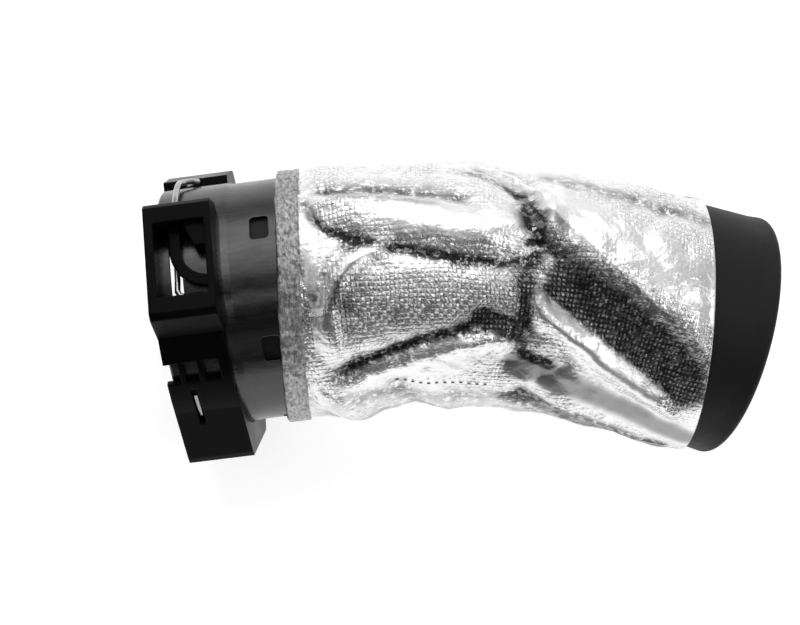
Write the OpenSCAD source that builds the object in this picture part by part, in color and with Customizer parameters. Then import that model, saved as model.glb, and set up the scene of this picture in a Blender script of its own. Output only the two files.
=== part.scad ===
// Turbocharger intake hose: a bent rubber hose in a foil heat-shield sleeve, with a quick coupling
// at one end and a plain moulded cuff at the other. All lengths are in millimetres.
// The hose is drawn along its coupling axis, with the mouth centre as origin, and then tipped so
// that it lies on the two lower cages of the clip carrier and on the rim of the cuff.

/* [Coupling collar] */
// Outer diameter of the collar behind its shoulder
collar_d = 72; // [70:0.5:75]
// Sheet thickness of the collar
collar_wall = 1.2; // [1:0.1:1.5]
// How far the mouth stands out from the rest of the collar, on the radius
mouth_step = 0.4; // [0.3:0.1:0.6]
// Length of the wide mouth
mouth_len = 19.5; // [19:0.5:21]
// Length of the collar, from its mouth to its end under the sleeve
collar_len = 44; // [42:1:50]
// Number of windows that key the rubber to the collar
window_count = 6; // [4:1:8]
// Length of a window along the collar
window_len = 5.5; // [4:0.5:6]
// Width of a window round the collar
window_w = 8; // [6:0.5:10]
// Distance from the mouth to the middle of the windows
window_at = 31; // [30:0.5:32]

/* [Rubber hose] */
// Outer diameter of the hose
hose_d = 67; // [65:0.5:68]
// Wall of the hose
hose_wall = 4; // [3:0.5:5]
// Angle that the hose turns through
bend_angle = 27; // [15:1:40]
// Radius of the bend on the centre line
bend_r = 204; // [180:2:240]
// Direction of the bend about the coupling axis
bend_dir = -32; // [-45:1:-20]
// Length of the straight end behind the bend
end_len = 33; // [32:0.5:40]
// Outer diameter of the cuff
cuff_d = 74; // [72:0.5:76]
// Bore of the cuff
cuff_bore = 65; // [62:0.5:66]
// Depth of the cuff bore
cuff_depth = 24; // [20:0.5:26]
// Radius of the rounded lip of the cuff
lip_round = 2; // [1:0.2:2.2]

/* [Seal and ferrule] */
// Width of the seal ring along the coupling
seal_w = 4.6; // [3.6:0.2:5]
// How far the seal stands in from the collar
seal_depth = 3; // [2.4:0.2:3.6]
// Length of the ferrule that presses the rubber against the collar
ferrule_len = 16; // [12:1:17]
// Sheet thickness of the ferrule
ferrule_wall = 1; // [0.8:0.1:1.4]

/* [Clip carrier] */
// Length of the carrier along the collar
carrier_len = 19.8; // [18.6:0.2:20]
// How far the carrier stands in front of the mouth
carrier_lead = 1.5; // [1.2:0.1:2]
// Wall of the band between the cages
band_wall = 2; // [1.9:0.05:2.1]
// Distance from the axis to the flat top of a cage
cage_h = 44; // [43:0.5:45]
// Width of the flat top of a cage
cage_w = 36; // [34:0.5:38]
// Plastic wall of a cage
cage_wall = 2.4; // [2:0.1:3]
// Width of the window in a cage, round the collar
cage_window = 23; // [20:0.5:25]
// Width of the post on the mouth side of a cage
post_front = 2.7; // [2.4:0.1:3]
// Width of the post on the hose side of a cage
post_back = 2; // [1.8:0.1:2.4]

/* [Spring clip] */
// Diameter of the spring wire
wire_d = 1.8; // [1.5:0.1:1.8]
// Distance from the axis to the wire where it crosses the collar
chord_h = 34.8; // [34.4:0.1:35]
// Distance from the mouth to the wire
wire_at = 6; // [5.6:0.1:6.6]
// How far the pull loop is offset along the collar
loop_w = 4.6; // [3:0.2:5]

/* [Heat-shield sleeve] */
// Thickness of the foil cloth
cloth = 0.9; // [0.7:0.1:1.1]
// Width of the tape over the sleeve's edge
tape_w = 7; // [5:0.5:8]
// Thickness of the tape
tape_t = 0.5; // [0.3:0.1:0.8]
// Distance from the mouth to the sleeve's edge, averaged round the collar
edge_at = 31.6; // [31:0.2:33]
// How far that edge is tipped to each side
edge_slant = 4.4; // [3:0.2:5]
// Rubber cuff left bare by the sleeve, averaged round the cuff
bare_cuff = 15.2; // [14:0.2:16]
// How far the sleeve's end is tipped to each side
bare_slant = 8; // [5:0.5:8.5]
// Height of the folds in the sleeve, against the real ones
fold_size = 1; // [0.6:0.1:1.3]

/* [Fits] */
// Gap between the carrier and the collar
slide_gap = 0.1; // [0.05:0.05:0.2]
// Gap between rubber and what it lies on
soft_gap = 0.1; // [0.05:0.05:0.2]
// Gap between the sleeve's lining and the hose
lining_gap = 0.35; // [0.3:0.05:0.5]

/* [Hidden] */
$fn = 96;

// Collar
collar_r = collar_d / 2;
mouth_r = collar_r + mouth_step;
bore_r = mouth_r - collar_wall;
inner_r = collar_r - collar_wall;
shoulder_len = 2;
rim_round = 0.9;
window_turn = -16;
window_round = 1.2;

// Places of the cages and the openings round the collar, in degrees from the upper cage
CAGES = [0, 120, 240];
gap_from = -30;
gap_to = -82;
slit_from = 44;
slit_to = 54;
slits = [[4.4, 8.6], [10.2, 15]];

// Carrier
carrier_r = mouth_r + slide_gap;
band_r = carrier_r + band_wall;
carrier_from = -carrier_lead;
carrier_to = carrier_from + carrier_len;
cage_from = carrier_from + post_front;
cage_to = carrier_to - post_back;
band_in = 0.2;
cage_foot = 2.6;
cage_chamfer = 1.6;
cage_floor = 0.85 * carrier_r;
cage_knee = 0.8 * carrier_r;
flank_bite = 0.6;
slit_bar = 1.4;
finger_at = 4.8;
finger_w = 3.4;
finger_t = 1.8;
finger_y = 4;
finger_gap = 1.2;
block_w = 7;
groove_to = 58;
groove_past = 2;
foot_drop = 0.4;
foot_side = 24;
foot_turn = CAGES[1] - 90;
finger_bite = 0.5;
fuse = 0.1;

// Wire
wire_r = wire_d / 2;
wire_gap = 0.1;
ring_r = mouth_r + wire_r + wire_gap;
chord_turn = acos(chord_h / ring_r);
slot_play = 0.9;
finger_z = chord_h + wire_r + finger_gap;
slot_from = wire_at - wire_r - slot_play;
slot_to = wire_at + wire_r + slot_play;
slot_depth = chord_h - wire_r - slot_play;
slot_w = 2 * sqrt(mouth_r * mouth_r - slot_depth * slot_depth);
foot_y = -9.3;
foot_z = sqrt(mouth_r * mouth_r - foot_y * foot_y) + wire_r + wire_gap;
foot_len = 7.6;
foot_bends = [[2, 0, 0], [0.7, 0.4, 0], [0, 1.8, -0.2]];
foot_run = 6;
loop_rise = 1.2;
loop_from = -60;
loop_top = -71;
loop_to = -80;
loop_steps = 24;
loop_ease = 6;
arc_step = 6;
wire_short = 4;

// Rubber parts
hose_r = hose_d / 2;
hose_bore_r = hose_r - hose_wall;
cuff_r = cuff_d / 2;
root_r = inner_r - soft_gap;
seal_from = mouth_len + shoulder_len + soft_gap;
root_from = seal_from + seal_w + soft_gap;
root_to = collar_len + 1;
root_taper = 3;
root_step = 0.2;
root_bore_r = hose_bore_r + root_step;
cuff_cover = 1.5;
cuff_len = bare_cuff + bare_slant + cuff_cover;
cuff_swell = 0.4;
cuff_overlap = 2;
bore_taper = 6;
bead_r = 0.7;
lip_edge = 0.6;

// Centre line: straight in the collar, an arc, and a straight end
arc_len = bend_r * bend_angle * PI / 180;
total_len = collar_len + arc_len + end_len;

// How far the part is tipped to lie on the floor
most_tilt = 30;
tilt_steps = 24;
rest_tilt = rest_turn(0, most_tilt, tilt_steps);

// Sleeve mesh and folds
around = 72;
along = 54;
flat_edge = 3;
tape_clear = 2.6;
floor_gap = 0.5;
bare_least = 10;
edge_dir = -22;
bare_dir = -38;
tape_lap = [2, 38];
lining_start = collar_len + 1;
lining_on_hose = collar_len + 5;
lining_at_cuff = total_len - end_len - cuff_overlap - 0.5;
lining_on_cuff = total_len - cuff_len - 0.5;
swell_run = 0.5;
cloth_turn_r = hose_r + 2.5;
cloth_girth = 2 * PI * cloth_turn_r;
pressed = 0.5;
flat_drop = 0.2;
// How far the cloth stands off its lining: hundredths of the length, distance
SLACK = [[18, 0.1], [25, 0.2], [26, 0.5], [27.2, 1.9], [28.4, 2.9], [34.7, 2.05], [39.3, 1.35],
    [52, 1.45], [60, 0.55], [64, 0.55], [68.7, 1.75], [76.8, 2.45], [79.1, 2.5], [83.8, 0.5], [87, 0.15]];
// Small creases all over: height, waves round the hose, degrees for each millimetre along it
CREASES = [[0.25, 3, 6], [0.2, 5, -9], [0.2, 1, 14]];
// Each fold: crest points in hundredths of the length and degrees round, width on each side, height
FOLDS = [
    [[[33, -17], [45, -9], [57, -9]], 8, 5, 2.2],
    [[[25.4, -27], [28.9, -9], [38.1, 1], [50.8, 8], [59.5, 4]], 3.2, 4.2, -2.2],
    [[[28.9, -32], [47.4, -26]], 3, 3, -1.3],
    [[[36.4, 2], [30.6, 15], [28.9, 44]], 2.6, 3.2, 1.7],
    [[[28.9, 61], [38.7, 51], [52, 40]], 3.4, 3, -2.2],
    [[[49.7, 47], [55.4, 45]], 3, 3, 1.5],
    [[[56.6, -62], [58.9, -10], [58.9, 46], [57.8, 56]], 3.2, 3.6, -1.9],
    [[[60, -34], [61.8, -22], [61.2, -8]], 3, 3, 1.6],
    [[[60.6, -24], [67, 0], [77.4, 14], [89, 28]], 15, 4.5, 2.4],
    [[[62.4, 18], [74, 35], [87.8, 50]], 7, 6, -1.8],
    [[[59.5, 20], [61.8, 31], [72.2, 48], [87.2, 65]], 3.4, 3, 2.6],
    [[[62.4, 70], [75.7, 86], [84.9, 94]], 3, 5, 1.4],
    [[[60, 78], [67, 54]], 3, 3, -1.5],
    [[[26.6, 78], [31.2, 118]], 5, 6, 2.2],
    [[[38, 74], [41.6, 110]], 5, 5, -1.4],
    [[[27.7, 150], [40.4, 200], [38.1, 226]], 5, 5, -1.5],
    [[[33.5, 140], [53, 184], [55.4, 214]], 5, 5, 1.6],
    [[[48.5, 126], [68.2, 206]], 5, 5, -1.7],
    [[[62.4, 120], [86.6, 190]], 5, 6, 1.6],
    [[[28.9, 240], [55.4, 280]], 5, 5, -1.4],
    [[[60, 232], [86.6, 268]], 5, 6, 1.7],
    [[[57.8, 260], [85.5, 296]], 5, 5, -1.3]
];
CRESTS = [for (f = FOLDS) [for (p = f[0]) [p.x * total_len / 100, p.y * PI / 180 * cloth_turn_r]]];

// Height of a point above the floor direction when the part is tipped by a turn
function height(p, turn) = p.x * sin(turn) + p.z * cos(turn);

// Turns a point about the coupling axis
function spun(p, turn) = [p.x, p.y * cos(turn) - p.z * sin(turn), p.y * sin(turn) + p.z * cos(turn)];

// Centre of the hose at a distance along it, and how far it has turned there, in the bend's plane
function turned_at(s) = min(max(s - collar_len, 0), arc_len) / bend_r * 180 / PI;
function centre_at(s) = let (a = turned_at(s), rest = max(s - collar_len - arc_len, 0))
    [min(s, collar_len) + bend_r * sin(a) + rest * cos(a), 0,
        -bend_r * (1 - cos(a)) - rest * sin(a)];

// A point at a distance along the hose, a turn round it and a radius
function skin_point(s, turn, r) = let (a = turned_at(s), k = turn - bend_dir)
    centre_at(s) + r * [cos(k) * sin(a), -sin(k), cos(k) * cos(a)];

// Lowest height of the cuff's lip and of the lower cages, for a turn
function lip_height(turn) = let (t = spun([cos(bend_angle), 0, -sin(bend_angle)], bend_dir),
    c = spun(centre_at(total_len - lip_round), bend_dir), k = height(t, turn))
    height(c, turn) - (cuff_r - lip_round) * sqrt(1 - k * k) - lip_round;
function foot_height(turn) = height([carrier_from, 0, -band_r - foot_drop], turn);
function rest_turn(low, high, steps) = let (mid = (low + high) / 2)
    steps == 0 ? mid
    : lip_height(mid) < foot_height(mid) ? rest_turn(mid, high, steps - 1)
    : rest_turn(low, mid, steps - 1);

// Sleeve: where it starts and ends, and its outer radius
function edge_s(turn) = edge_at + edge_slant * cos(turn - edge_dir);
function end_s(turn) = total_len - max(bare_cuff + bare_slant * cos(turn - bare_dir), bare_least);
function blend(a, b, k) = a + (b - a) * k * k * (3 - 2 * k);
function part_of(s, from, to) = min(max((s - from) / (to - from), 0), 1);
LINING = [[0, collar_r + soft_gap], [lining_start, collar_r + soft_gap],
    [lining_on_hose, hose_r + lining_gap], [lining_at_cuff - swell_run, hose_r + lining_gap],
    [lining_at_cuff, hose_r + cuff_swell + lining_gap],
    [lining_on_cuff, cuff_r - cuff_swell + lining_gap], [total_len, cuff_r]];
function lining_r(s) = lookup(s, LINING);
// Distance of a point on the cloth from one stretch of a crest, and the side that it lies on
function from_stretch(a, b, q) = let (d = b - a, y = q.y - a.y,
    p = [q.x - a.x, y - cloth_girth * round(y / cloth_girth)],
    k = min(max(p * d / (d * d), 0), 1))
    [norm(p - k * d), d.x * p.y - d.y * p.x];
function fold(f, crest, q) = let (
    near = [for (i = [0:len(crest) - 2]) from_stretch(crest[i], crest[i + 1], q)],
    least = min([for (n = near) n[0]]),
    side = [for (n = near) if (n[0] == least) n[1]][0],
    k = least / (side > 0 ? f[2] : f[1]))
    f[3] * exp(-k * k);
function folds_at(s, turn) = let (q = [s, turn * PI / 180 * cloth_turn_r])
    [for (i = [0:len(FOLDS) - 1]) fold(FOLDS[i], CRESTS[i], q)] * [for (f = FOLDS) 1];
function crease(s, turn) =
    [for (c = CREASES) c[0] * sin(c[1] * turn + c[2] * s)] * [for (c = CREASES) 1];
// Largest radius at which the sleeve stays just clear of the floor
function floor_r(s, turn) = let (c = spun(skin_point(s, turn, 0), bend_dir),
    out = spun(skin_point(s, turn, 1), bend_dir) - c, drop = -height(out, rest_tilt))
    drop < flat_drop ? cage_h : (height(c, rest_tilt) - foot_height(rest_tilt) - floor_gap) / drop;
function sleeve_r(s, turn) = let (
    calm = part_of(s, edge_s(turn) + tape_w + tape_clear, edge_s(turn) + tape_w + tape_clear + flat_edge)
        * part_of(s, end_s(turn), end_s(turn) - flat_edge),
    relief = fold_size * (folds_at(s, turn) + crease(s, turn)),
    puff = max(lookup(100 * s / total_len, SLACK) + relief, -pressed))
    min(lining_r(s) + cloth + calm * puff, floor_r(s, turn));

module tipped() { rotate([0, -rest_tilt, 0]) children(); }
module in_bend_plane() { rotate([bend_dir, 0, 0]) children(); }
module round_axis() { rotate([0, 90, 0]) rotate_extrude() children(); }
module across(from, to) {
    translate([from, 0, 0]) rotate([90, 0, 90]) linear_extrude(to - from) children();
}
module at_cuff() {
    in_bend_plane() translate([collar_len + bend_r * sin(bend_angle), 0,
        -bend_r * (1 - cos(bend_angle))]) rotate([0, bend_angle, 0]) children();
}
module round_rect(l, w, r) {
    square([l - 2 * r, w], center = true);
    square([l, w - 2 * r], center = true);
    for (x = [-1, 1], y = [-1, 1]) translate([x * (l / 2 - r), y * (w / 2 - r)]) circle(r);
}
// Wedge between two turns about the axis, in the plane across it
module sector(from, to, r) {
    steps = ceil(abs(to - from) / 20);
    polygon(concat([[0, 0]], [for (i = [0:steps]) let (a = from + (to - from) * i / steps)
        [-r * sin(a), r * cos(a)]]));
}

// Steel collar with a wide mouth, slots for the wire and windows for the rubber
module collar_half_section() {
    translate([mouth_r - rim_round, rim_round]) circle(rim_round);
    polygon([[bore_r, 0], [mouth_r - rim_round, 0], [mouth_r, rim_round], [mouth_r, mouth_len],
        [collar_r, mouth_len + shoulder_len], [collar_r, collar_len], [inner_r, collar_len],
        [inner_r, mouth_len + shoulder_len], [bore_r, mouth_len]]);
}
module coupling_collar() {
    color("dimgray") tipped() difference() {
        round_axis() collar_half_section();
        for (turn = CAGES) rotate([turn, 0, 0]) translate([slot_from, -slot_w / 2, slot_depth])
            cube([slot_to - slot_from, slot_w, mouth_r]);
        for (i = [0:window_count - 1]) rotate([window_turn + i * 360 / window_count, 0, 0])
            translate([window_at, 0, inner_r / 2]) linear_extrude(mouth_r)
                round_rect(window_len, window_w, window_round);
    }
}

// Plastic carrier: a C-shaped band with three cages that hold the wire
module cage_outline() {
    half = cage_w / 2;
    polygon([[-half - cage_foot, 0], [half + cage_foot, 0], [half + cage_foot, cage_knee],
        [half, cage_h - cage_chamfer], [half - cage_chamfer, cage_h],
        [-half + cage_chamfer, cage_h], [-half, cage_h - cage_chamfer],
        [-half - cage_foot, cage_knee]]);
}
// Sloping flank that runs from a cage's corner down to the band
module flank_outline() {
    corner = [cage_w / 2, cage_h - cage_chamfer];
    end_r = band_r - flank_bite;
    turn = atan2(corner.x, corner.y) + acos(end_r / norm(corner));
    polygon([[0, 0], corner, [end_r * sin(turn), end_r * cos(turn)]]);
}
// Foot on the side of a lower cage, with its corner just below the band
module foot_outline() {
    rise = (band_r + foot_drop - foot_side * cos(foot_turn)) / sin(foot_turn);
    polygon([[0, 0], [-foot_side, 0], [-foot_side, rise], [-cage_w / 2, cage_h - cage_chamfer]]);
}
module cage_hollow() {
    width = cage_w - 2 * cage_wall;
    translate([cage_from, -width / 2, cage_floor])
        cube([cage_to - cage_from, width, cage_h - cage_wall - cage_floor]);
    translate([cage_from, -cage_window / 2, cage_floor])
        cube([cage_to - cage_from, cage_window, cage_h]);
}
// Groove that the wire lies in, all round but for the plain band below the upper cage
module wire_groove() {
    groove_w = wire_d + 2 * wire_gap;
    intersection() {
        round_axis() translate([carrier_r - 1, wire_at - groove_w / 2]) square([band_wall + 2, groove_w]);
        across(wire_at - groove_w, wire_at + groove_w)
            sector(groove_to, 360 + groove_past - chord_turn, 2 * band_r);
    }
}
// Hooked finger and stop block over the wire in each cage
module cage_finger() {
    outer = cage_to - finger_at;
    inner = outer - finger_w;
    translate([cage_to, finger_y, finger_z]) {
        linear_extrude(finger_t) intersection() {
            difference() {
                circle(outer);
                circle(inner);
            }
            translate([-outer, -outer]) square([outer + fuse, outer]);
        }
        translate([-outer, -0.01, 0]) cube([finger_w, cage_window / 2 - finger_y + finger_bite, finger_t]);
    }
    translate([0, 0, finger_z]) linear_extrude(cage_h - cage_wall - finger_z + fuse) polygon([
        [cage_to - block_w, cage_window / 2 + finger_bite],
        [cage_to + fuse, cage_window / 2 + finger_bite], [cage_to + fuse, finger_y],
        [cage_to - block_w / 2, finger_y]]);
}
module clip_carrier() {
    color("#1c1c1e") tipped() {
        difference() {
            union() {
                across(carrier_from + band_in, carrier_to - band_in) circle(band_r);
                for (turn = CAGES) rotate([turn, 0, 0]) across(carrier_from, carrier_to) cage_outline();
                for (side = [0, 1]) mirror([0, side, 0]) rotate([CAGES[1], 0, 0]) {
                    across(carrier_from, carrier_to) flank_outline();
                    across(carrier_from, carrier_to) foot_outline();
                }
            }
            across(carrier_from - 1, carrier_to + 1) circle(carrier_r);
            for (turn = CAGES) rotate([turn, 0, 0]) cage_hollow();
            across(carrier_from - 1, carrier_to + 1) sector(gap_from, gap_to, 2 * cage_h);
            for (slit = slits) across(slit[0], slit[1]) sector(slit_from, slit_to, 2 * cage_h);
            across(carrier_from - 1, slits[0][0] - slit_bar) sector(slit_from, slit_to, 2 * cage_h);
            wire_groove();
        }
        for (turn = CAGES) rotate([turn, 0, 0]) cage_finger();
    }
}

// Spring wire: a foot in the upper cage, three chords through the collar and a pull loop
function ring_at(turn, r, x) = [x, -r * sin(turn), r * cos(turn)];
function arc_points(from, to, r, x, step) = let (n = max(ceil(abs(to - from) / step), 1))
    [for (i = [0:n]) ring_at(from + (to - from) * i / n, r, x)];
function loop_points() = let (from = -chord_turn, to = -CAGES[1] + chord_turn)
    [for (i = [0:loop_steps]) let (turn = from + (to - from) * i / loop_steps,
        out = sin(180 * part_of(turn, from - loop_ease, loop_to)),
        side = blend(0, 1, part_of(turn, loop_from, loop_top))
            - blend(0, 1, part_of(turn, loop_top, loop_to)))
        ring_at(turn, ring_r + loop_rise * out, wire_at + loop_w * side)];
wire_path = concat(
    [[wire_at + foot_len, foot_y, foot_z]],
    [for (bend = foot_bends) [wire_at, foot_y, foot_z] + bend],
    [[wire_at, foot_y + foot_run, chord_h]],
    loop_points(),
    arc_points(-CAGES[1] - chord_turn, -CAGES[2] + chord_turn, ring_r, wire_at, arc_step),
    arc_points(-CAGES[2] - chord_turn, -360 + groove_to + wire_short, ring_r, wire_at, arc_step));
function unit(v) = v / norm(v);
function sweep_ring(path, i, r, sides) = let (
    n = len(path) - 1,
    t = unit(path[min(i + 1, n)] - path[max(i - 1, 0)]),
    out = [0, path[i].y, path[i].z],
    a = unit(out - (out * t) * t),
    b = cross(t, a))
    [for (k = [0:sides - 1]) path[i] + r * (cos(360 * k / sides) * a + sin(360 * k / sides) * b)];
function tube_faces(rings, sides) = concat(
    [[for (k = [0:sides - 1]) k]],
    [for (i = [0:rings - 2], k = [0:sides - 1]) let (a = i * sides + k,
        b = i * sides + (k + 1) % sides) [a, a + sides, b + sides, b]],
    [[for (k = [sides - 1:-1:0]) (rings - 1) * sides + k]]);
module spring_clip() {
    sides = 10;
    rings = len(wire_path);
    color("silver") tipped() polyhedron(
        [for (i = [0:rings - 1]) each sweep_ring(wire_path, i, wire_r, sides)],
        tube_faces(rings, sides), convexity = 10);
}

// Lip seal between the shoulder and the end of the rubber
module seal_ring() {
    color("#20251f") tipped() round_axis() {
        translate([root_r - seal_depth + bead_r, seal_from])
            square([seal_depth - bead_r, seal_w]);
        for (y = [bead_r, seal_w - bead_r]) translate([root_r - seal_depth + bead_r, seal_from + y])
            circle(bead_r);
    }
}

// Steel ferrule inside the rubber
module support_ferrule() {
    r = root_bore_r - soft_gap;
    color("gainsboro") tipped() round_axis() translate([0, root_from + 1]) polygon([
        [r, 0], [r, ferrule_len], [r - ferrule_wall, ferrule_len], [r - ferrule_wall, 0]]);
}

// Rubber hose and its cuff, in one moulding
module bend(r) {
    in_bend_plane() translate([collar_len, 0, -bend_r]) rotate([0, -90, -90])
        rotate_extrude(angle = bend_angle) translate([bend_r, 0]) circle(r);
}
module cuff_half_section() {
    slim_r = cuff_r - cuff_swell;
    polygon([[0, -cuff_overlap], [hose_r + cuff_swell, -cuff_overlap], [slim_r, end_len - cuff_len],
        [slim_r, end_len - 3 * lip_round], [cuff_r, end_len - lip_round],
        [cuff_r - lip_round, end_len], [0, end_len]]);
    translate([cuff_r - lip_round, end_len - lip_round]) circle(lip_round);
}
module cuff_bore_half_section() {
    r = cuff_bore / 2;
    polygon([[0, -cuff_overlap], [hose_bore_r + cuff_swell, -cuff_overlap],
        [hose_bore_r + cuff_swell, end_len - cuff_depth - bore_taper], [r, end_len - cuff_depth],
        [r, end_len - lip_edge], [r + lip_edge, end_len], [r + lip_edge, end_len + 1],
        [0, end_len + 1]]);
}
module rubber_hose() {
    color("#161616") tipped() {
        difference() {
            union() {
                round_axis() polygon([[0, root_from], [root_r, root_from],
                    [root_r, collar_len - root_taper], [hose_r + root_step, collar_len],
                    [hose_r + root_step, root_to], [0, root_to]]);
                bend(hose_r);
                at_cuff() round_axis() cuff_half_section();
            }
            round_axis() translate([0, root_from - 1]) square([root_bore_r, root_to - root_from + 1]);
            bend(hose_bore_r);
            at_cuff() round_axis() cuff_bore_half_section();
        }
    }
}

// Foil cloth sleeve: a closed skin with folds outside and a smooth lining
function skin_ring(k, rows) = [for (j = [0:around - 1]) let (turn = 360 * j / around,
    s = edge_s(turn) + 1 + (end_s(turn) - edge_s(turn) - 1) * k) skin_point(s, turn, sleeve_r(s, turn))];
bend_rows = 9;
bend_run = lining_at_cuff - swell_run - lining_on_hose;
LINING_ROWS = concat([lining_start, lining_on_hose],
    [for (i = [1:bend_rows]) lining_on_hose + bend_run * i / bend_rows],
    [lining_at_cuff, lining_on_cuff]);
lining_rows = len(LINING_ROWS) + 2;
function lining_s(i, turn) = i == 0 ? edge_s(turn) + 1
    : i == lining_rows - 1 ? end_s(turn) : LINING_ROWS[i - 1];
function lining_ring(i) = [for (j = [0:around - 1]) let (turn = 360 * j / around,
    s = lining_s(i, turn)) skin_point(s, turn, lining_r(s))];
function loop_faces(rings) = [for (i = [0:rings - 1], j = [0:around - 1]) let (
    a = i * around + j, b = i * around + (j + 1) % around,
    c = ((i + 1) % rings) * around + j, d = ((i + 1) % rings) * around + (j + 1) % around)
    each [[a, b, c], [b, d, c]]];
module heat_shield_sleeve() {
    rings = concat([for (i = [0:along - 1]) skin_ring(i / (along - 1), along)],
        [for (i = [lining_rows - 1:-1:0]) lining_ring(i)]);
    color("lightgray") tipped() in_bend_plane()
        polyhedron([for (ring = rings) each ring], loop_faces(len(rings)), convexity = 10);
}

// Foil tape over the sleeve's edge, lapped over itself at its end
function tape_lift(turn) = turn > tape_lap[0] && turn < tape_lap[1] ? tape_t : 0;
function tape_ring(at, r, lifts) = [for (j = [0:around - 1]) let (turn = 360 * j / around,
    s = edge_s(turn) + at) skin_point(s, turn, r + lifts * tape_lift(turn))];
module sleeve_tape() {
    low = collar_r + soft_gap;
    top = low + cloth + soft_gap;
    rings = [tape_ring(0, low, 0), tape_ring(0, low + tape_t, 1), tape_ring(0.5, top + tape_t, 1),
        tape_ring(tape_w, top + tape_t, 1), tape_ring(tape_w, top, 0), tape_ring(1 - soft_gap, top, 0),
        tape_ring(1 - soft_gap, low, 0)];
    color("silver") tipped() in_bend_plane()
        polyhedron([for (ring = rings) each ring], loop_faces(len(rings)), convexity = 10);
}

coupling_collar();
clip_carrier();
spring_clip();
seal_ring();
support_ferrule();
rubber_hose();
heat_shield_sleeve();
sleeve_tape();
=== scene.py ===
"""Dresses the turbocharger intake hose: foil sleeve, tape, steel collar, clip carrier, wire and rubber."""

import logging
import math
from dataclasses import dataclass
from enum import Enum

import bpy
import numpy as np
from mathutils import Matrix, Vector


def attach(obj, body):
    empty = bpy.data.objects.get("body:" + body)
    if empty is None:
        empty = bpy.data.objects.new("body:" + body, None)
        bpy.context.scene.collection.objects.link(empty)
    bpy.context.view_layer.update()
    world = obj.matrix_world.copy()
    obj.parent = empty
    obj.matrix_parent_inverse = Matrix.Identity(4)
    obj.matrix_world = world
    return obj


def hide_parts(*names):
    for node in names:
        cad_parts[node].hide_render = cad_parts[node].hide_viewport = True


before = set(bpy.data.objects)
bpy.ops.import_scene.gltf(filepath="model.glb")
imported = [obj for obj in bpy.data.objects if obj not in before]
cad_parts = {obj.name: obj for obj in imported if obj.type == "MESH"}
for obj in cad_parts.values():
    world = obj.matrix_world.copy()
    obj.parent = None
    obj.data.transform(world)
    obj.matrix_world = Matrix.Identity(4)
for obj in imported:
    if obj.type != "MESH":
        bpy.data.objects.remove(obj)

MM = 0.001
LOG = logging.getLogger("intake_hose")

Socket = bpy.types.NodeSocket
Span = tuple[float, float]
Place = tuple[float, float, float]
Line = tuple[tuple[float, float], ...]

# A noise as its scale, detail and roughness, and a ramp as a value's range and the range it maps to.
Grain = tuple[float, float, float]
Ramp = tuple[float, float, float, float]


# Form


@dataclass(frozen=True)
class HoseLine:
    """Centre line of the hose: straight in the collar, one arc, and a straight end, in millimetres.

    The hose is drawn along its coupling axis and then tipped so that it lies on the floor.
    """

    collar_len: float = 44.0
    bend_r: float = 204.0
    bend_angle: float = 27.0
    bend_dir: float = -32.0
    end_len: float = 33.0
    rest_tilt: float = 9.755493
    floor_z: float = -38.5917
    least_drop: float = 0.2
    no_floor: float = 99.0

    @property
    def arc_len(self) -> float:
        """Length of the arc."""
        return self.bend_r * math.radians(self.bend_angle)

    @property
    def total_len(self) -> float:
        """Length of the whole centre line."""
        return self.collar_len + self.arc_len + self.end_len

    def in_bend_plane(self, points: np.ndarray) -> np.ndarray:
        """Turns points from the plane of the bend to their place about the coupling axis.

        Args:
            points: Points, one a row.

        Returns:
            The turned points.
        """
        a = math.radians(self.bend_dir)
        x, y, z = points[..., 0], points[..., 1], points[..., 2]
        return np.stack([x, y * math.cos(a) - z * math.sin(a), y * math.sin(a) + z * math.cos(a)], -1)

    def tipped(self, points: np.ndarray) -> np.ndarray:
        """Tips points from the coupling's own axis to the lying position.

        Args:
            points: Points along the coupling axis, in millimetres.

        Returns:
            The points in the shared frame, still in millimetres.
        """
        a = math.radians(self.rest_tilt)
        x, y, z = points[..., 0], points[..., 1], points[..., 2]
        return np.stack([x * math.cos(a) - z * math.sin(a), y, x * math.sin(a) + z * math.cos(a)], -1)

    def frame_at(self, s: np.ndarray) -> tuple[np.ndarray, np.ndarray]:
        """Finds the centre and the turn of the hose at distances along it.

        Args:
            s: Distances from the mouth.

        Returns:
            The centres in the plane of the bend, and the angle turned so far in radians.
        """
        a = np.clip(s - self.collar_len, 0, self.arc_len) / self.bend_r
        rest = np.maximum(s - self.collar_len - self.arc_len, 0)
        x = np.minimum(s, self.collar_len) + self.bend_r * np.sin(a) + rest * np.cos(a)
        z = -self.bend_r * (1 - np.cos(a)) - rest * np.sin(a)
        return np.stack([x, 0 * x, z], -1), a

    def skin(self, s: np.ndarray, turn: np.ndarray, r: np.ndarray) -> np.ndarray:
        """Places points on the hose by their distance along it, turn round it and radius.

        Args:
            s: Distances from the mouth.
            turn: Turns round the hose in degrees, from the upper cage.
            r: Radii.

        Returns:
            The points in the shared frame, in metres.
        """
        s, turn, r = np.broadcast_arrays(np.asarray(s, float), np.asarray(turn, float), np.asarray(r, float))
        centre, a = self.frame_at(s)
        k = np.radians(turn - self.bend_dir)
        out = np.stack([np.cos(k) * np.sin(a), -np.sin(k), np.cos(k) * np.cos(a)], -1)
        return self.tipped(self.in_bend_plane(centre + r[..., None] * out)) * MM

    def floor_r(self, s: np.ndarray, turn: np.ndarray, gap: float) -> np.ndarray:
        """Finds the radius at which a point comes near the floor.

        Args:
            s: Distances from the mouth.
            turn: Turns round the hose in degrees.
            gap: Distance to keep from the floor.

        Returns:
            The largest radius for each point.
        """
        centre = self.skin(s, turn, 0 * s)[..., 2] / MM
        drop = centre - self.skin(s, turn, 0 * s + 1)[..., 2] / MM
        free = (centre - self.floor_z - gap) / np.maximum(drop, self.least_drop)
        return np.where(drop < self.least_drop, self.no_floor, free)


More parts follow.
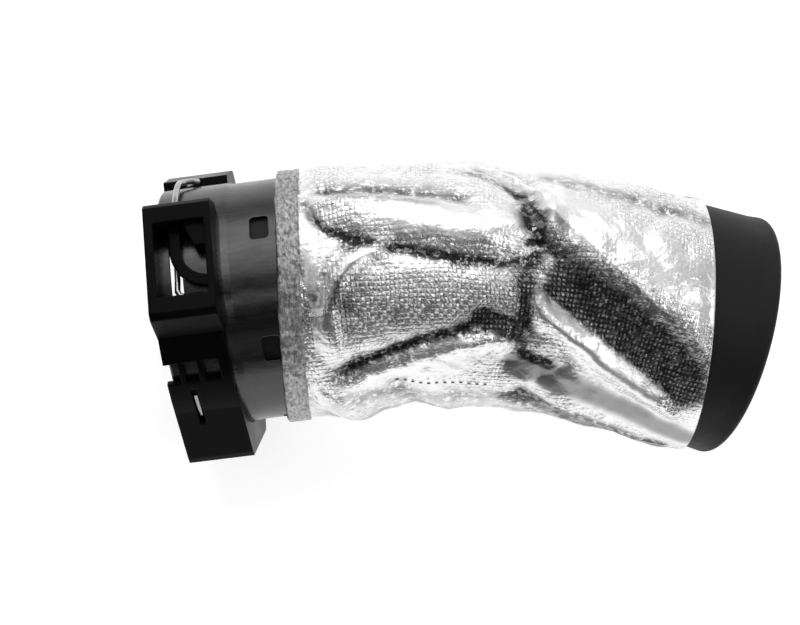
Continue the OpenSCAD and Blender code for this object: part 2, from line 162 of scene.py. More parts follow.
LINE = HoseLine()


class Profile(Enum):
    """How a fold rises from the cloth."""

    ROUND = 2.0
    SHARP = 1.25
    FLAT = 5.0


@dataclass(frozen=True)
class Fold:
    """A fold that follows a line on the cloth, with its own width on each side."""

    line: Line
    height: float
    left: float
    right: float
    profile: Profile = Profile.ROUND

    def rise(self, s: np.ndarray, across: np.ndarray, girth: float) -> np.ndarray:
        """Works out how far the fold lifts the cloth.

        Args:
            s: Distances along the hose.
            across: Distances round the hose, in millimetres.
            girth: Distance once round.

        Returns:
            The lift at each point.
        """
        best = np.full(s.shape, 1e9)
        side = np.zeros(s.shape)
        per_degree = girth / 360
        for (s0, t0), (s1, t1) in zip(self.line[:-1], self.line[1:]):
            d = np.array([s1 - s0, (t1 - t0) * per_degree])
            ps = s - s0
            pa = (across - t0 * per_degree + girth / 2) % girth - girth / 2
            k = np.clip((ps * d[0] + pa * d[1]) / (d @ d), 0, 1)
            far = np.hypot(ps - k * d[0], pa - k * d[1])
            turn = d[0] * pa - d[1] * ps
            closer = far < best
            best = np.where(closer, far, best)
            side = np.where(closer, turn, side)
        width = np.where(side > 0, self.right, self.left)
        return self.height * np.exp(-((best / width) ** self.profile.value))


WAVES = 9
WAVE_SPREAD = (0.7, 1.6)
WAVE_BEND = 1.5
BEND_SHARE = 0.37
ANY_PHASE = 6.28


def crumple(s: np.ndarray, across: np.ndarray, size: float, seed: int) -> np.ndarray:
    """Makes a field of soft creases from a few crossed waves.

    Args:
        s: Distances along the hose.
        across: Distances round the hose.
        size: Typical distance between creases.
        seed: Seed of the waves' directions.

    Returns:
        Lifts round zero, with sharp valleys.
    """
    rng = np.random.default_rng(seed)
    total = np.zeros(s.shape)
    for _ in range(WAVES):
        a = rng.uniform(0, math.pi)
        f = 2 * math.pi / (size * rng.uniform(*WAVE_SPREAD))
        side = s * math.sin(a) - across * math.cos(a)
        bend = WAVE_BEND * np.sin(side * f * BEND_SHARE + rng.uniform(0, ANY_PHASE))
        along = s * math.cos(a) + across * math.sin(a)
        total += 1 - 2 * np.abs(np.sin(along * f / 2 + bend + rng.uniform(0, ANY_PHASE)))
    return -total / math.sqrt(WAVES)


def ring_mesh(name: str, rings: np.ndarray, uv: np.ndarray) -> bpy.types.Object:
    """Joins closed rings of points into a closed mesh, the last ring to the first.

    Args:
        name: Name of the object.
        rings: Points as rings by points by 3, in metres, each ring without its repeated first point.
        uv: Cloth coordinates as rings by points plus one by 2, in millimetres.

    Returns:
        The new object, linked to the scene.
    """
    m, n = rings.shape[:2]
    i, j = np.meshgrid(np.arange(m), np.arange(n), indexing="ij")
    up = (i + 1) % m
    quads = np.stack([i * n + j, i * n + (j + 1) % n, up * n + (j + 1) % n, up * n + j], -1).reshape(-1, 4)
    mesh = bpy.data.meshes.new(name)
    mesh.from_pydata(rings.reshape(-1, 3).tolist(), [], quads.tolist())
    layer = mesh.uv_layers.new(name="cloth")
    corners = np.stack([uv[i, j], uv[i, j + 1], uv[up, j + 1], uv[up, j]], 2).reshape(-1, 2)
    layer.data.foreach_set("uv", corners.astype(np.float32).ravel())
    mesh.shade_smooth()
    mesh.update()
    piece = bpy.data.objects.new(name, mesh)
    bpy.context.scene.collection.objects.link(piece)
    return piece


def face_outwards(piece: bpy.types.Object) -> None:
    """Turns a closed mesh so that its faces point outwards.

    Args:
        piece: The object to look at.
    """
    mesh = piece.data
    mesh.calc_loop_triangles()
    co = np.zeros(len(mesh.vertices) * 3)
    mesh.vertices.foreach_get("co", co)
    co = co.reshape(-1, 3)
    tris = np.zeros(len(mesh.loop_triangles) * 3, np.int32)
    mesh.loop_triangles.foreach_get("vertices", tris)
    a, b, c = (co[k] for k in tris.reshape(-1, 3).T)
    if np.einsum("ij,ij->i", a, np.cross(b, c)).sum() < 0:
        mesh.flip_normals()


# Finishes


class Shader:
    """A small helper that builds one material's nodes."""

    noise_span: Span = (0.3, 0.7)

    def __init__(self, name: str) -> None:
        """Starts a material with one principled shader.

        Args:
            name: Name of the material.
        """
        self.material = bpy.data.materials.new(name)
        self.material.use_nodes = True
        self.tree = self.material.node_tree
        self.bsdf = self.tree.nodes["Principled BSDF"]

    def add(self, kind: str, inputs: dict | None = None, **settings: object) -> bpy.types.Node:
        """Adds a node.

        Args:
            kind: Node type without its ShaderNode prefix.
            inputs: Values or sockets for its inputs.
            settings: Its own settings.

        Returns:
            The new node.
        """
        node = self.tree.nodes.new(f"ShaderNode{kind}")
        for key, value in settings.items():
            setattr(node, key, value)
        for key, value in (inputs or {}).items():
            self.put(node, key, value)
        return node

    def put(self, node: bpy.types.Node, key: str | int, value: object) -> None:
        """Sets an input to a value, or links a socket to it.

        Args:
            node: The node.
            key: Name or number of the input.
            value: The value, or the socket to link.
        """
        if isinstance(value, Socket):
            self.tree.links.new(value, node.inputs[key])
        else:
            node.inputs[key].default_value = value

    def math(self, operation: str, *values: object, clamp: bool = False) -> Socket:
        """Adds a math node.

        Args:
            operation: What it does.
            values: Values or sockets for its inputs.
            clamp: Whether the result is kept between 0 and 1.

        Returns:
            Its output.
        """
        node = self.add("Math", operation=operation, use_clamp=clamp)
        for k, value in enumerate(values):
            self.put(node, k, value)
        return node.outputs[0]

    def times(self, a: object, b: object) -> Socket:
        """Multiplies two values and returns the output."""
        return self.math("MULTIPLY", a, b)

    def plus(self, a: object, b: object) -> Socket:
        """Adds two values and returns the output."""
        return self.math("ADD", a, b)

    def most(self, a: object, b: object) -> Socket:
        """Takes the larger of two values and returns the output."""
        return self.math("MAXIMUM", a, b)

    def noise(self, where: Socket, grain: Grain) -> Socket:
        """Adds a noise texture and returns its value."""
        values = dict(zip(("Scale", "Detail", "Roughness"), grain))
        return self.add("TexNoise", {"Vector": where, **values}).outputs[0]

    def ramp(self, value: Socket, low: float, high: float, to_low: float, to_high: float) -> Socket:
        """Maps a range of values to another and returns the output."""
        return self.add("MapRange", {0: value, 1: low, 2: high, 3: to_low, 4: to_high}).outputs[0]

    def even(self, value: Socket, span: Span = (0.0, 1.0)) -> Socket:
        """Maps the range that a noise mostly keeps to another and returns the output."""
        return self.ramp(value, *self.noise_span, *span)

    def greys(self, factor: Socket, tones: Span) -> Socket:
        """Mixes two greys.

        Args:
            factor: The share of the second.
            tones: The two greys.

        Returns:
            The mixed colour.
        """
        node = self.add("Mix", data_type="RGBA")
        for key, value in ((0, factor), (6, grey(tones[0])), (7, grey(tones[1]))):
            self.put(node, key, value)
        return node.outputs[2]

    def bump(self, height: Socket, strength: object, distance: float, under: Socket | None = None) -> Socket:
        """Adds a bump node, over another if one is given.

        Args:
            height: The height.
            strength: Its strength, as a value or a socket.
            distance: The depth of a full height.
            under: The normal that it lies on.

        Returns:
            The new normal.
        """
        node = self.add("Bump", {"Height": height, "Strength": strength, "Distance": distance})
        if under is not None:
            self.put(node, "Normal", under)
        return node.outputs[0]

    def stretched(self, where: Socket, scale: Place) -> Socket:
        """Scales coordinates, so that a pattern runs long where the scale is low."""
        return self.add("Mapping", {"Vector": where, "Scale": scale}).outputs[0]

    def attribute(self, name: str) -> Socket:
        """Returns the value of a mesh's own attribute."""
        return self.add("Attribute", attribute_name=name).outputs["Fac"]

    def soft_edges(self, radius: float) -> Socket:
        """Rounds the look of sharp edges and returns the normal."""
        return self.add("Bevel", {"Radius": radius}, samples=8).outputs[0]

    def place(self) -> Socket:
        """Returns the object coordinates."""
        return self.add("TexCoord").outputs["Object"]

    def set(self, **values: object) -> None:
        """Sets inputs of the principled shader, with underscores for spaces."""
        for key, value in values.items():
            self.put(self.bsdf, key.replace("_", " "), value)


def grey(value: float) -> tuple[float, float, float, float]:
    """Returns a neutral colour."""
    return (value, value, value, 1.0)


@dataclass(frozen=True)
class FoilCloth:
    """Aluminium foil on woven glass cloth, with the weave pressed through and painted shade in its creases.

    The sleeve's attributes say where shade and reflections are painted into its colour, mostly in its
    creases, where it is smooth (satin) and where its weave stands out (woven).
    """

    pitch_along: float = 1.15
    pitch_round: float = 1.5
    wander: float = 2.2
    wander_round: Grain = (110, 3, 0.5)
    wander_along: Grain = (95, 3, 0.5)
    pillow_power: float = 0.6
    pillow_share: float = 0.7
    over_share: float = 0.35
    knots: Grain = (520, 4, 0.65)
    patch_grain: Grain = (75, 3, 0.6)
    patches: Ramp = (0.42, 0.6, 0.12, 0.75)
    break_grain: Grain = (330, 3, 0.6)
    breaks: Ramp = (0.38, 0.6, 0.25, 1.0)
    loose: Ramp = (0.0, 1.0, 1.0, 0.1)
    dents: Grain = (150, 5, 0.6)
    dent_strength: float = 0.42
    dent_depth: float = 1.6 * MM
    weave_strength: float = 0.85
    weave_depth: float = 0.5 * MM
    # painted glints: spots where the painted shade is lifted
    glint_grain: Grain = (460, 3, 0.7)
    painted_glints: Ramp = (0.5, 0.62, 1.0, 0.1)
    top_glints: Ramp = (0.6, 0.95, 0.0, 0.3)
    # keeps the deepest painted shade from the painted glints
    deep_shade: Ramp = (0.8, 0.95, 0.0, 0.75)
    # painted shade in the gaps between yarns and in the pits of the knots
    gap_shade: Ramp = (0.2, 0.75, 0.6, 0.0)
    pit_shade: Ramp = (0.34, 0.5, 0.28, 0.0)
    # grey of unshaded foil and grey of full painted shade
    tones: Span = (0.95, 0.03)
    clouds: Grain = (60, 3, 0.5)
    rough: Span = (0.16, 0.3)
    satin_rough: float = 0.12

    def wave(self, sh: Shader, at: Socket, grain: Grain, pitch: float) -> Socket:
        """Adds a wave that wanders a little, one yarn to a half wave.

        Args:
            sh: The material's helper.
            at: The cloth coordinate that it runs along, in millimetres.
            grain: The noise of its wandering.
            pitch: Distance between yarns.

        Returns:
            The wave.
        """
        wandering = sh.plus(at, sh.times(sh.noise(sh.place(), grain), self.wander))
        return sh.math("SINE", sh.times(wandering, math.pi / pitch))

    def build(self) -> bpy.types.Material:
        """Builds the material.

        Returns:
            The material.
        """
        sh = Shader("foil_cloth")
        place = sh.place()
        cloth = sh.add("SeparateXYZ", {0: sh.add("UVMap", uv_map="cloth").outputs[0]})
        crosswise = self.wave(sh, cloth.outputs[0], self.wander_round, self.pitch_round)
        lengthwise = self.wave(sh, cloth.outputs[1], self.wander_along, self.pitch_along)
        over = sh.times(crosswise, lengthwise)
        pillow = sh.math("POWER", sh.math("ABSOLUTE", over), self.pillow_power)
        yarn = sh.plus(sh.times(pillow, self.pillow_share), sh.times(over, self.over_share))
        knots = sh.noise(place, self.knots)
        satin = sh.attribute("satin")
        woven = sh.attribute("woven")
        # painted shade and painted reflections written on the sleeve, darkest in its creases
        painted_shade = sh.attribute("painted_shade")
        broken = sh.ramp(sh.noise(place, self.break_grain), *self.breaks)
        patches = sh.ramp(sh.noise(place, self.patch_grain), *self.patches)
        taut = sh.times(sh.most(patches, woven), broken)
        loose = sh.ramp(satin, *self.loose)
        dents = sh.bump(sh.noise(place, self.dents), self.dent_strength, self.dent_depth)
        weave = sh.plus(sh.times(yarn, taut), knots)
        normal = sh.bump(weave, sh.times(loose, self.weave_strength), self.weave_depth, dents)
        # painted glints that lift the painted shade, at random in plain cloth and on the yarn tops in woven
        # cloth
        painted_glints = sh.ramp(sh.noise(place, self.glint_grain), *self.painted_glints)
        top_glints = sh.math("SUBTRACT", 1.0, sh.times(sh.ramp(pillow, *self.top_glints), broken))
        plain = sh.math("SUBTRACT", 1.0, woven, clamp=True)
        grain = sh.plus(sh.times(painted_glints, plain), sh.times(top_glints, woven))
        # the deepest painted shade is lifted less by the painted glints
        deep_shade = sh.times(sh.ramp(painted_shade, *self.deep_shade), plain)
        tone = sh.math("MULTIPLY", painted_shade, sh.most(grain, sh.most(satin, deep_shade)), clamp=True)
        # painted shade in the low places of the weave and of the knots
        gap_shade = sh.times(sh.ramp(pillow, *self.gap_shade), sh.times(taut, loose))
        pit_shade = sh.times(sh.ramp(knots, *self.pit_shade), loose)
        shade = sh.most(tone, sh.most(gap_shade, pit_shade))
        # the foil's grey runs from bright to near black with the painted shade
        sh.set(Base_Color=sh.greys(shade, self.tones), Metallic=1.0, Normal=normal)
        rough = sh.even(sh.noise(place, self.clouds), self.rough)
        sh.set(Roughness=sh.plus(rough, sh.times(satin, self.satin_rough)))
        return sh.material


@dataclass(frozen=True)
class FoilTape:
    """Bright foil tape, crinkled where it was pressed round the edge."""

    stretch: Place = (1.0, 0.55, 0.55)
    wrinkles: Grain = (760, 5, 0.66)
    wrinkle_depth: float = 0.7 * MM
    dents: Grain = (130, 3, 0.5)
    dent_strength: float = 0.5
    dent_depth: float = 1.4 * MM
    streak_grain: Grain = (1150, 4, 0.65)
    streaks: Ramp = (0.36, 0.62, 0.0, 1.0)
    tones: Span = (0.16, 0.52)
    rough: Span = (0.24, 0.38)

    def build(self) -> bpy.types.Material:
        """Builds the material.

        Returns:
            The material.
        """
        sh = Shader("foil_tape")
        place = sh.place()
        long = sh.stretched(place, self.stretch)
        dents = sh.noise(place, self.dents)
        normal = sh.bump(dents, self.dent_strength, self.dent_depth)
        normal = sh.bump(sh.noise(long, self.wrinkles), 1.0, self.wrinkle_depth, normal)
        streaks = sh.ramp(sh.noise(long, self.streak_grain), *self.streaks)
        sh.set(Base_Color=sh.greys(streaks, self.tones), Metallic=1.0, Normal=normal)
        sh.set(Roughness=sh.even(dents, self.rough))
        return sh.material


@dataclass(frozen=True)
class DarkSteel:
    """Darkened rolled steel with a soft shine and faint rolling marks."""

    stretch: Place = (0.12, 1.0, 1.0)
    marks: Grain = (900, 3, 0.5)
    mark_strength: float = 0.12
    mark_depth: float = 0.2 * MM
    clouds: Grain = (45, 3, 0.5)
    tones: Span = (0.06, 0.081)
    rough: Span = (0.2, 0.32)
    edge_r: float = 0.5 * MM

    def build(self) -> bpy.types.Material:
        """Builds the material.

        Returns:
            The material.
        """
        sh = Shader("dark_steel")
        place = sh.place()
        marks = sh.noise(sh.stretched(place, self.stretch), self.marks)
        tone = sh.greys(sh.even(sh.noise(place, self.clouds)), self.tones)
        sh.set(Base_Color=tone, Metallic=1.0, Roughness=sh.even(marks, self.rough))
        sh.set(Normal=sh.bump(marks, self.mark_strength, self.mark_depth, sh.soft_edges(self.edge_r)))
        return sh.material


@dataclass(frozen=True)
class BlackPlastic:
    """Satin black glass-filled plastic with a fine moulded grain."""

    grain: Grain = (1500, 3, 0.6)
    grain_strength: float = 0.2
    grain_depth: float = 0.2 * MM
    flow: Grain = (70, 2, 0.5)
    tones: Span = (0.002, 0.0036)
    rough: Span = (0.23, 0.36)
    specular: float = 0.05
    edge_r: float = 0.9 * MM

    def build(self) -> bpy.types.Material:
        """Builds the material.

        Returns:
            The material.
        """
        sh = Shader("black_plastic")
        place = sh.place()
        flow = sh.noise(place, self.flow)
        sh.set(Base_Color=sh.greys(sh.even(flow), self.tones), Roughness=sh.even(flow, self.rough))
        grain = sh.noise(place, self.grain)
        normal = sh.bump(grain, self.grain_strength, self.grain_depth, sh.soft_edges(self.edge_r))
        sh.set(Normal=normal, Specular_IOR_Level=self.specular)
        return sh.material


@dataclass(frozen=True)
class MouldedRubber:
    """Black moulded rubber with a dry bloom and a fine skin."""

    name: str = "black_rubber"
    tones: Span = (0.007, 0.0112)
    rough: Span = (0.54, 0.68)
    bloom: Grain = (55, 4, 0.55)
    waves: Grain = (120, 2, 0.5)
    wave_strength: float = 0.12
    wave_depth: float = 1.0 * MM
    skin: Grain = (1100, 4, 0.6)
    skin_strength: float = 0.22
    skin_depth: float = 0.3 * MM
    specular: float = 0.24

    def build(self) -> bpy.types.Material:
        """Builds the material.

        Returns:
            The material.
        """
        sh = Shader(self.name)
        place = sh.place()
        bloom = sh.noise(place, self.bloom)
        sh.set(Base_Color=sh.greys(sh.even(bloom), self.tones), Roughness=sh.even(bloom, self.rough))
        normal = sh.bump(sh.noise(place, self.waves), self.wave_strength, self.wave_depth)
        normal = sh.bump(sh.noise(place, self.skin), self.skin_strength, self.skin_depth, normal)
        sh.set(Normal=normal, Specular_IOR_Level=self.specular)
        return sh.material


@dataclass(frozen=True)
class SpringWire:
    """Drawn spring wire with fine marks and a dull shine."""

    marks: Grain = (1600, 3, 0.5)
    mark_strength: float = 0.15
    mark_depth: float = 0.1 * MM
    clouds: Grain = (120, 3, 0.5)
    tones: Span = (0.26, 0.44)
    rough: Span = (0.13, 0.26)

    def build(self) -> bpy.types.Material:
        """Builds the material.

        Returns:
            The material.
        """
        sh = Shader("spring_wire")
        place = sh.place()
        marks = sh.noise(place, self.marks)
        tone = sh.greys(sh.even(sh.noise(place, self.clouds)), self.tones)
        sh.set(Base_Color=tone, Metallic=1.0, Roughness=sh.even(marks, self.rough))
        sh.set(Normal=sh.bump(marks, self.mark_strength, self.mark_depth))
        return sh.material


@dataclass(frozen=True)
class BrightSteel:
    """Plain zinc-coloured sheet for the ferrule inside the rubber."""

    stretch: Place = (0.1, 1.0, 1.0)
    marks: Grain = (700, 3, 0.5)
    tones: Span = (0.42, 0.58)
    rough: Span = (0.25, 0.4)

    def build(self) -> bpy.types.Material:
        """Builds the material.

        Returns:
            The material.
        """
        sh = Shader("bright_steel")
        marks = sh.noise(sh.stretched(sh.place(), self.stretch), self.marks)
        sh.set(Base_Color=sh.greys(sh.even(marks), self.tones), Metallic=1.0)
        sh.set(Roughness=sh.even(marks, self.rough))
        return sh.material


@dataclass(frozen=True)
class StitchThread:
    """Dark glass thread that closes the sleeve."""

    twist: Grain = (2600, 2, 0.5)
    twist_strength: float = 0.4
    twist_depth: float = 0.1 * MM
    tones: Span = (0.05, 0.16)
    rough: float = 0.6

    def build(self) -> bpy.types.Material:
        """Builds the material.

        Returns:
            The material.
        """
        sh = Shader("stitch_thread")
        twist = sh.noise(sh.place(), self.twist)
        sh.set(Base_Color=sh.greys(sh.even(twist), self.tones), Roughness=self.rough)
        sh.set(Normal=sh.bump(twist, self.twist_strength, self.twist_depth))
        return sh.material


@dataclass(frozen=True)
class PaleFloor:
    """White floor that keeps the part's shadow."""

    tone: float = 0.5
    rough: float = 0.9
    seen_glow: float = 0.8

    def build(self) -> bpy.types.Material:
        """Builds the material.

        Returns:
            The material.
        """
        sh = Shader("pale_floor")
        sh.set(Base_Color=grey(self.tone), Roughness=self.rough, Specular_IOR_Level=0.0)
        rays = sh.add("LightPath").outputs
        seen = sh.most(rays["Is Camera Ray"], sh.most(rays["Is Glossy Ray"], rays["Is Transmission Ray"]))
        sh.set(Emission_Color=grey(1.0), Emission_Strength=sh.times(seen, self.seen_glow))
        return sh.material


# Pieces


def grow(
    name: str, points: np.ndarray, tree: bpy.types.NodeTree, values: dict[str, object]
) -> bpy.types.Object:
    """Runs a node tree on a line of points and keeps the result as a plain mesh.

    Args:
        name: Name of the finished object.
        points: The line's points, in metres.
        tree: The geometry node tree.
        values: Values of the tree's named inputs.

    Returns:
        The finished object, with no modifier.
    """
    base = bpy.data.meshes.new(name + "_line")
    base.from_pydata(points.tolist(), [(k, k + 1) for k in range(len(points) - 1)], [])
    carrier = bpy.data.objects.new(name + "_line", base)
    bpy.context.scene.collection.objects.link(carrier)
    modifier = carrier.modifiers.new("grow", "NODES")
    modifier.node_group = tree
    for item in tree.interface.items_tree:
        if item.item_type == "SOCKET" and item.in_out == "INPUT" and item.name in values:
            modifier[item.identifier] = values[item.name]
    graph = bpy.context.evaluated_depsgraph_get()
    mesh = bpy.data.meshes.new_from_object(carrier.evaluated_get(graph))
    carrier.modifiers.remove(modifier)
    bpy.data.objects.remove(carrier)
    mesh.name = name
    piece = bpy.data.objects.new(name, mesh)
    bpy.context.scene.collection.objects.link(piece)
    return piece


class Tree:
    """A small helper that builds one geometry node tree with named inputs."""

    def __init__(self, name: str, inputs: dict[str, tuple[str, object]]) -> None:
        """Starts a tree.

        Args:
            name: Name of the tree.
            inputs: For each named input, its socket type and default value.
        """
        self.tree = bpy.data.node_groups.new(name, "GeometryNodeTree")
        face = self.tree.interface
        face.new_socket("Geometry", in_out="INPUT", socket_type="NodeSocketGeometry")
        for key, (kind, value) in inputs.items():
            socket = face.new_socket(key, in_out="INPUT", socket_type=f"NodeSocket{kind}")
            if value is not None:
                socket.default_value = value
        face.new_socket("Geometry", in_out="OUTPUT", socket_type="NodeSocketGeometry")
        self.source = self.tree.nodes.new("NodeGroupInput")
        self.target = self.tree.nodes.new("NodeGroupOutput")

    def add(self, kind: str, inputs: dict | None = None, **settings: object) -> bpy.types.Node:
        """Adds a node and sets or links its inputs.

        Args:
            kind: Full node type.
            inputs: Values or sockets for its inputs.
            settings: Its own settings.

        Returns:
            The new node.
        """
        node = self.tree.nodes.new(kind)
        for key, value in settings.items():
            setattr(node, key, value)
        for key, value in (inputs or {}).items():
            if isinstance(value, Socket):
                self.tree.links.new(value, node.inputs[key])
            else:
                node.inputs[key].default_value = value
        return node

    def end(self, geometry: Socket) -> bpy.types.NodeTree:
        """Ends the tree in realized instances and the set material.

        Args:
            geometry: The socket to send out.

        Returns:
            The finished tree.
        """
        real = self.add("GeometryNodeRealizeInstances", {0: geometry}).outputs[0]
        finish = self.source.outputs["Material"]
        dressed = self.add("GeometryNodeSetMaterial", {"Geometry": real, "Material": finish})
        self.tree.links.new(dressed.outputs[0], self.target.inputs[0])
        return self.tree


def wire_tree() -> bpy.types.NodeTree:
    """Builds the tree that sweeps a round wire along a line.

    Returns:
        The tree.
    """
    inputs = {"Radius": ("Float", 0.9 * MM), "Sides": ("Int", 20), "Material": ("Material", None)}
    t = Tree("wire_along_line", inputs)
    given = t.source.outputs
    line = t.add("GeometryNodeMeshToCurve", {0: given["Geometry"]}).outputs[0]
    circle = {"Resolution": given["Sides"], "Radius": given["Radius"]}
    ring = t.add("GeometryNodeCurvePrimitiveCircle", circle).outputs[0]
    tube = t.add("GeometryNodeCurveToMesh", {"Curve": line, "Profile Curve": ring, "Fill Caps": True})
    smooth = t.add("GeometryNodeSetShadeSmooth", {"Geometry": tube.outputs[0]})
    return t.end(smooth.outputs[0])


def stitch_tree() -> bpy.types.NodeTree:
    """Builds the tree that sets short stitches along a line.

    Returns:
        The tree.
    """
    inputs = {
        "Pitch": ("Float", 2.5 * MM),
        "Length": ("Float", 1.7 * MM),
        "Thread": ("Float", 0.3 * MM),
        "Material": ("Material", None),
    }
    t = Tree("stitches_along_line", inputs)
    given = t.source.outputs
    line = t.add("GeometryNodeMeshToCurve", {0: given["Geometry"]}).outputs[0]
    spots = t.add("GeometryNodeCurveToPoints", {"Curve": line, "Length": given["Pitch"]}, mode="LENGTH")
    ball = t.add("GeometryNodeMeshIcoSphere", {"Radius": 1.0, "Subdivisions": 2})
    half = t.add("ShaderNodeMath", {0: given["Length"], 1: 0.5}, operation="MULTIPLY")
    size = t.add("ShaderNodeCombineXYZ", {0: given["Thread"], 1: given["Thread"], 2: half.outputs[0]})
    turned = t.add("FunctionNodeAlignRotationToVector", {"Vector": spots.outputs["Tangent"]}, axis="Z")
    placing = {"Points": spots.outputs[0], "Instance": ball.outputs[0]}
    placing |= {"Rotation": turned.outputs[0], "Scale": size.outputs[0]}
    return t.end(t.add("GeometryNodeInstanceOnPoints", placing).outputs[0])


def ride(piece: bpy.types.Object, slot: str, *nodes: str) -> bpy.types.Object:
    """Fixes a piece to the part's one body and hides the CAD nodes that it replaces.

    Args:
        piece: The finished piece.
        slot: The material slot that it would take its finish from; not used.
        nodes: The CAD nodes that it replaces.

    Returns:
        The piece.
    """
    if nodes:
        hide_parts(*nodes)
    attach(piece, "root")
    LOG.info("%s: %d faces", piece.name, len(piece.data.polygons))
    return piece


# Lines that more than one fold or tone follows, as distances along the hose and turns round it.
BULGE_VALLEY: Line = (
    (44, -27), (46.5, -17), (50, -9), (59, -2), (66, 1), (76, 4.4), (86, 7.8), (94, 8), (103, 4),
)
MIDDLE_CREASE: Line = ((50, 61), (57, 56), (67, 51), (79, 44), (90, 40))
WAIST: Line = ((98, -62), (102, -40), (101.5, -18), (102.5, 6), (101.5, 26), (102, 46), (100, 56))
DARK_SLOPE: Line = ((111, 17), (124, 30), (138, 42), (153, 54))
CREST: Line = ((103, 20), (106, 30), (115, 39.5), (125, 48.5), (132, 54), (143, 60.5), (151, 65))
SMOOTH_HOLLOW: Line = ((101, 60), (116, 66), (129, 71), (145, 77), (160, 84))


def beside(line: Line, by: float) -> Line:
    """Moves a line round the cloth by some degrees."""
    return tuple((s, turn + by) for s, turn in line)


